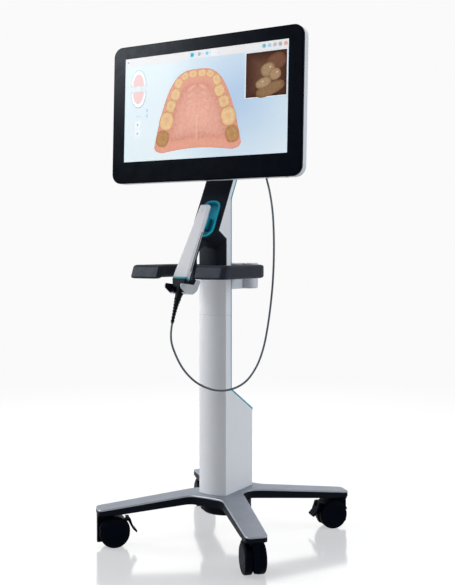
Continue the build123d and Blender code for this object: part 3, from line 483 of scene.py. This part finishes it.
def draw_schematic(picture):
    """A small chart of both jaws: pink gums, each with a row of white teeth."""
    middle = -195.0
    line = (0.26, 0.42, 0.54)
    white = (0.93, 0.95, 0.96)
    pink = (0.86, 0.60, 0.60)
    for sign, base in ((1, 60.0), (-1, 46.0)):
        outline = []
        for step in range(21):
            angle = math.pi * step / 20
            outline.append((
                middle + sign * 24 * math.cos(angle), base + sign * 42 * math.sin(angle)))
        centre = (middle, base + sign * 14)
        picture.rings(outline, centre, [(0.0, line), (0.055, line), (0.065, white), (0.26, white)])
        inner = [(middle + 0.72 * (x - middle), base + 0.76 * (y - base)) for x, y in outline]
        picture.plain(inner, pink, centre)
        for step in range(1, 12):
            angle = math.pi * step / 12
            spot = (middle + 20.5 * math.cos(angle), base + sign * 36.5 * math.sin(angle))
            picture.plain(oval(spot, 3.2, 3.2, count=12), (0.99, 0.99, 0.99))
    knob = (middle, 53)
    picture.rings(oval(knob, 9, 9), knob, [
        (0.0, (0.50, 0.55, 0.58)), (0.2, (0.84, 0.86, 0.87)),
    ])


def draw_controls(picture):
    """The pale bar along the top with its tool marks, and two buttons under the chart."""
    half = screen_half_width / MM
    top = screen_half_height / MM
    bar = (0.80, 0.79, 0.79)
    picture.plain(rectangle(-half, top - 20, half, top), bar)
    picture.plain(rectangle(-half, top - 21, half, top - 20), (0.62, 0.72, 0.78))
    grey, teal, blue = (0.42, 0.46, 0.50), (0.03, 0.40, 0.52), (0.30, 0.55, 0.72)
    row = top - 10
    # Tool buttons in the middle of the bar, with small pointers between them
    for x, colour in ((-32, teal), (-11, grey), (12, blue), (34, (0.75, 0.79, 0.82))):
        halo = tuple(min(1, c + 0.35) for c in colour)
        picture.plain(oval((x, row), 6.8, 6.8, power=5.0), halo)
        picture.plain(oval((x, row), 4.6, 4.6, power=3.0, count=12), colour)
        picture.plain([(x + 8.5, row - 2), (x + 11, row), (x + 8.5, row + 2)], grey)
    for step, colour in enumerate((teal, blue, grey, (0.28, 0.34, 0.40), (0.70, 0.30, 0.22))):
        x = 172 + 14.5 * step
        picture.rings(oval((x, row), 5.0, 5.0, count=18), (x, row), [
            (0.0, colour), (0.3, colour), (0.35, bar), (0.6, colour),
        ])
    picture.plain(oval((-229, row), 2.6, 2.6, power=4.0), grey)
    picture.plain(rectangle(-222, row - 1.2, -206, row + 1.2), (0.70, 0.74, 0.77))
    # Buttons under the chart of the jaws
    picture.plain(rectangle(-203, -19, -187, -16), (0.62, 0.68, 0.72))
    for y, colour in ((-39, grey), (-62, blue)):
        picture.plain(oval((-196, y), 8.5, 8.5, power=6.0), (0.93, 0.95, 0.97))
        picture.plain(rectangle(-200, y - 1.3, -192, y + 1.3), colour)
        picture.plain(rectangle(-197.3, y - 4, -194.7, y + 4), colour)
    for y in (-4, -18):
        picture.plain(oval((-167, y), 2.6, 4.6), (0.45, 0.60, 0.78))


def make_screen_picture():
    """Two painted pieces before the lit panel: the tool marks, and the scan with its view."""
    glow = screen_glow("screen_controls_glow", painted_colour, 0.97, 0.42)
    tissue = screen_glow("screen_scan_glow", painted_colour, 0.80, 0.34)
    controls = Picture()
    draw_controls(controls)
    draw_schematic(controls)
    controls.finish("screen_controls", glow)
    scan = Picture()
    draw_arch(scan)
    draw_inset(scan)
    scan.finish("screen_scan", tissue)
    panel_glow = screen_glow("screen_background", glow_colour, 0.985, 0.42)
    dress("screen_panel", panel_glow)


def dress(node, material):
    """Gives a CAD node its finish."""
    for slot in nodes[node].material_slots:
        slot.material = material


# The wand's cable, in metres, through the same points as the solid

cable_diameter = 0.005
relief_end = (0.0, -0.2475, 0.571)
cable_route = [
    relief_end,
    (0.0, -0.2585, 0.5388),
    (0.012, -0.252, 0.496),
    (0.034, -0.246, 0.457),
    (0.064, -0.226, 0.424),
    (0.098, -0.181, 0.406),
    (0.130, -0.132, 0.420),
    (0.151, -0.107, 0.461),
    (0.165, -0.0975, 0.508),
    (0.174, -0.094, 0.560),
    (0.182, -0.0935, 0.615),
    (0.1885, -0.095, 0.670),
    (0.1925, -0.098, 0.725),
    (0.1935, -0.100, 0.780),
    (0.1895, -0.098, 0.835),
    (0.177, -0.0905, 0.886),
    (0.159, -0.078, 0.925),
    (0.143, -0.048, 0.945),
    (0.128, -0.017, 0.957),
    (0.1085, -0.0004, 0.9593),
    (0.0805, -0.0004, 0.9593),
]


def make_cable(material):
    """One smooth round cable that takes the place of the solid."""
    data = bpy.data.curves.new("wand_cable_line", "CURVE")
    data.dimensions = "3D"
    spline = data.splines.new("NURBS")
    spline.points.add(len(cable_route) - 1)
    for spot, place in zip(spline.points, cable_route):
        spot.co = (*place, 1.0)
    spline.order_u = 3
    spline.use_endpoint_u = True
    spline.resolution_u = 16
    data.bevel_depth = cable_diameter / 2
    data.bevel_resolution = 5
    data.materials.append(material)
    cable = add_object("wand_cable_line", data)
    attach(cable, "stand")
    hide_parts("wand_cable")


# Finishes of the solids

casters = ("front_right", "front_left", "rear_left", "rear_right")


def make_finishes():
    # Every surface finish takes painted shade in its seams, and its edge colours are rubbed wear
    # and a painted highlight
    white = surface("shell_white", (0.80, 0.815, 0.85), shade=0.97, rough=(0.34, 0.42), gloss=0.4)
    silver = surface("base_silver", (0.285, 0.297, 0.330), shade=0.90, rough=(0.34, 0.44),
                     metal=0.60, gloss=0.35, grain=2600.0, depth=0.12, edge_wear_and_sheen=(0.50, 0.51, 0.54))
    black = surface("frame_black", (0.0045, 0.0060, 0.0110), shade=0.8, rough=(0.45, 0.60),
                    gloss=0.05, grain=1800.0, depth=0.18, edge_wear_and_sheen=(0.014, 0.016, 0.021))
    teal = surface("trim_teal", (0.018, 0.340, 0.460), shade=0.90, rough=(0.34, 0.44), gloss=0.25)
    # The pocket's teal is lighter than the trim's and takes painted shade over the whole recess,
    # out to 22 mm
    recess = surface("recess_teal", (0.020, 0.480, 0.640), shade=0.90, rough=(0.36, 0.46),
                     gloss=0.10, seam=22.0, crevice_shade=0.30)
    cover = surface("cover_black", (0.0105, 0.0135, 0.0210), shade=0.8, rough=(0.38, 0.50),
                    gloss=0.05, grain=1600.0, depth=0.10)
    sleeve = surface("collar_black", (0.0030, 0.0045, 0.0100), shade=0.8, rough=(0.30, 0.40),
                     gloss=0.12, grain=1600.0, depth=0.08)
    ring = surface("ring_dark", (0.016, 0.019, 0.028), shade=0.85, rough=(0.40, 0.52), gloss=0.10,
                   grain=1500.0, depth=0.12, edge_wear_and_sheen=(0.045, 0.047, 0.056))
    grey = surface("grey_plastic", (0.62, 0.64, 0.68), shade=0.95, rough=(0.36, 0.46))
    steel = surface("steel", (0.60, 0.60, 0.61), rough=(0.22, 0.34), metal=1.0,
                    stretch=(1.0, 8.0, 8.0))
    bezel = surface("bezel_black", (0.0008, 0.0018, 0.0055), shade=0.9, rough=(0.25, 0.32),
                    gloss=0.02, mottle=9.0, grain=900.0, depth=0.01)
    shell = surface("display_shell", (0.66, 0.68, 0.72), shade=0.96, rough=(0.38, 0.50),
                    grain=1700.0, depth=0.12)
    wand_white = surface("wand_white", (0.72, 0.725, 0.75), shade=0.97, rough=(0.30, 0.38),
                         gloss=0.4, edge=0.8)
    soft_grey = surface("wand_grey", (0.20, 0.21, 0.235), shade=0.9, rough=(0.48, 0.60),
                        grain=2200.0, depth=0.2)
    mark_grey = surface("wand_mark", (0.60, 0.61, 0.64), shade=0.94, rough=(0.40, 0.50))
    rubber = surface("cable_rubber", (0.085, 0.098, 0.120), shade=0.85, rough=(0.42, 0.54),
                     gloss=0.40, grain=2400.0, depth=0.12)
    dark_rubber = surface("relief_rubber", (0.0050, 0.0058, 0.0090), shade=0.85,
                          rough=(0.45, 0.58), gloss=0.05, grain=2400.0, depth=0.12)
    wheel = surface("wheel_black", (0.0015, 0.0026, 0.0065), shade=0.8, rough=(0.38, 0.52),
                    gloss=0.02, grain=1500.0, depth=0.15, edge=1.0,
                    edge_wear_and_sheen=(0.024, 0.027, 0.034))
    caster = surface("caster_black", (0.0015, 0.0026, 0.0065), shade=0.8, rough=(0.34, 0.46),
                     gloss=0.02, grain=1700.0, depth=0.12, edge_wear_and_sheen=(0.008, 0.010, 0.016))
    window = dark_glass("window_glass", (0.020, 0.028, 0.040))
    coats = {
        white: ("column_lower", "rear_housing", "upper_shell"),
        silver: ("base_cover",),
        black: ("base_frame", "hub_block"),
        teal: ("rear_trim", "wand_trim_ring"),
        recess: ("pocket_liner",),
        cover: ("arm_cover", "wand_end_cap", "cradle_spine", "cradle_liner", "cable_plug",
                "arm_head", "tilt_bracket"),
        sleeve: ("collar",),
        ring: ("handle_ring",),
        grey: ("handle_bracket", "power_box", "cradle_cup", "cable_socket", "power_button"),
        steel: ("tilt_pin", "display_screws"),
        bezel: ("display_bezel",),
        shell: ("display_rear_shell",),
        wand_white: ("wand_body", "scan_head"),
        soft_grey: ("wand_panel_left", "wand_panel_right", "wand_button_left",
                    "wand_button_right"),
        mark_grey: ("wand_indicator",),
        rubber: ("wand_cable",),
        dark_rubber: ("strain_relief",),
        window: ("scan_window",),
    }
    for material, names in coats.items():
        for name in names:
            dress(name, material)
    for corner in casters:
        dress(f"caster_housing_{corner}", caster)
        dress(f"brake_pedal_{corner}", caster)
        dress(f"caster_axle_{corner}", steel)
        dress(f"wheel_left_{corner}", wheel)
        dress(f"wheel_right_{corner}", wheel)
    return rubber


# Floor, background and lamps: places and sizes in metres, lamps in watts

background_white = 0.955
floor_glow = (0.790, 0.800, 0.822)
floor_mirror = (1.0, 0.98, 0.94)
floor_diffuse = 0.30
floor_gloss = 0.40
floor_roughness = 0.12
floor_radius = 6.0
floor_drop = 0.0002
fade_start = 1.2
fade_end = 3.0
world_light = (0.25, 0.26, 0.28)


def make_floor():
    """A pale floor that mirrors a little and fades into the background away from the part. It
    glows only for the camera and in mirrors, so it doesn't light the part from below."""
    material, tree, shader = new_material("floor_paint")
    tree.nodes.remove(shader)
    output = tree.nodes["Material Output"]
    glow = tree.nodes.new("ShaderNodeEmission")
    glow.inputs["Color"].default_value = (*floor_glow, 1.0)
    paint = tree.nodes.new("ShaderNodeBsdfDiffuse")
    paint.inputs["Color"].default_value = (floor_diffuse, floor_diffuse, floor_diffuse, 1.0)
    gloss = tree.nodes.new("ShaderNodeBsdfGlossy")
    gloss.inputs["Color"].default_value = (*floor_mirror, 1.0)
    gloss.inputs["Roughness"].default_value = floor_roughness
    seen = ray_is(tree, ("Is Camera Ray", "Is Glossy Ray"))
    tree.links.new(seen, glow.inputs["Strength"])
    both = tree.nodes.new("ShaderNodeAddShader")
    tree.links.new(glow.outputs["Emission"], both.inputs[0])
    tree.links.new(paint.outputs["BSDF"], both.inputs[1])
    sheen = tree.nodes.new("ShaderNodeMixShader")
    sheen.inputs["Fac"].default_value = floor_gloss
    tree.links.new(both.outputs["Shader"], sheen.inputs[1])
    tree.links.new(gloss.outputs["BSDF"], sheen.inputs[2])
    coords = tree.nodes.new("ShaderNodeTexCoord")
    length = tree.nodes.new("ShaderNodeVectorMath")
    length.operation = "LENGTH"
    tree.links.new(coords.outputs["Object"], length.inputs[0])
    faded = spread(tree, length.outputs["Value"], 0.0, 1.0, fade_start, fade_end)
    open_air = tree.nodes.new("ShaderNodeBsdfTransparent")
    edge = tree.nodes.new("ShaderNodeMixShader")
    tree.links.new(faded, edge.inputs["Fac"])
    tree.links.new(sheen.outputs["Shader"], edge.inputs[1])
    tree.links.new(open_air.outputs["BSDF"], edge.inputs[2])
    tree.links.new(edge.outputs["Shader"], output.inputs["Surface"])
    mesh = bpy.data.meshes.new("floor")
    r = floor_radius
    mesh.from_pydata([(-r, -r, 0), (r, -r, 0), (r, r, 0), (-r, r, 0)], [], [(0, 1, 2, 3)])
    mesh.materials.append(material)
    floor = add_object("floor", mesh)
    floor.location.z = -floor_drop
    return floor


def make_world():
    """White where it is seen or mirrored, dim where it only gives light."""
    world = bpy.data.worlds.new("studio")
    bpy.context.scene.world = world
    world.use_nodes = True
    tree = world.node_tree
    lighting = tree.nodes["Background"]
    lighting.inputs["Color"].default_value = (*world_light, 1.0)
    shown = tree.nodes.new("ShaderNodeBackground")
    shown.inputs["Color"].default_value = (*(background_white,) * 3, 1.0)
    seen = ray_is(tree, ("Is Camera Ray", "Is Glossy Ray", "Is Transmission Ray"))
    mix = tree.nodes.new("ShaderNodeMixShader")
    tree.links.new(seen, mix.inputs["Fac"])
    tree.links.new(lighting.outputs["Background"], mix.inputs[1])
    tree.links.new(shown.outputs["Background"], mix.inputs[2])
    tree.links.new(mix.outputs["Shader"], tree.nodes["World Output"].inputs["Surface"])


def make_lamp(name, place, aim, size, watts, colour, sheen_spares=None):
    """A soft rectangular lamp. It lights matt surfaces only, or gives only highlights, on all
    but the objects in the collection sheen_spares."""
    data = bpy.data.lights.new(name, "AREA")
    data.shape = "RECTANGLE"
    data.size, data.size_y = size
    data.energy = watts
    data.color = colour
    lamp = add_object(name, data)
    lamp.location = place
    lamp.rotation_euler = (Vector(aim) - Vector(place)).to_track_quat("-Z", "Y").to_euler()
    lamp.visible_diffuse = sheen_spares is None
    lamp.visible_glossy = sheen_spares is not None
    if sheen_spares is not None:
        lamp.light_linking.receiver_collection = sheen_spares


def make_lamps(floor):
    """Lamps whose highlights show have a twin for them, which the floor doesn't mirror: the
    mirrored lamp would bleach it."""
    spared = bpy.data.collections.new("spared_floor")
    spared.objects.link(floor)
    spared.collection_objects[0].light_linking.link_state = "EXCLUDE"
    white = (1.0, 1.0, 1.0)
    warm = (1.0, 0.99, 0.975)
    cool = (0.90, 0.95, 1.0)
    left = ((-3.1, -0.8, 1.5), (0, 0, 0.7), (1.2, 2.2))
    side = ((2.6, 0.9, 1.5), (0, 0, 0.6), (0.9, 1.8))
    make_lamp("left_lamp", *left, 98.0, warm)
    make_lamp("left_lamp_sheen", *left, 88.0, warm, spared)
    make_lamp("sheen_lamp", (-2.02, -2.2, 2.09), (-0.3, -0.1, 1.3), (0.7, 0.4), 105.0,
              (0.96, 0.98, 1.0), spared)
    make_lamp("side_lamp", *side, 33.0, cool)
    make_lamp("side_lamp_sheen", *side, 33.0, cool, spared)
    make_lamp("top_lamp", (0.2, -0.6, 3.4), (0, 0, 0.4), (2.2, 2.2), 39.0, white)
    make_lamp("back_lamp", (-1.0, 2.6, 1.8), (0, 0, 0.7), (1.4, 1.8), 26.0, white)


make_camera()
make_cable(make_finishes())
make_screen_picture()
floor = make_floor()
make_world()
make_lamps(floor)
bpy.context.scene.view_settings.view_transform = "Standard"
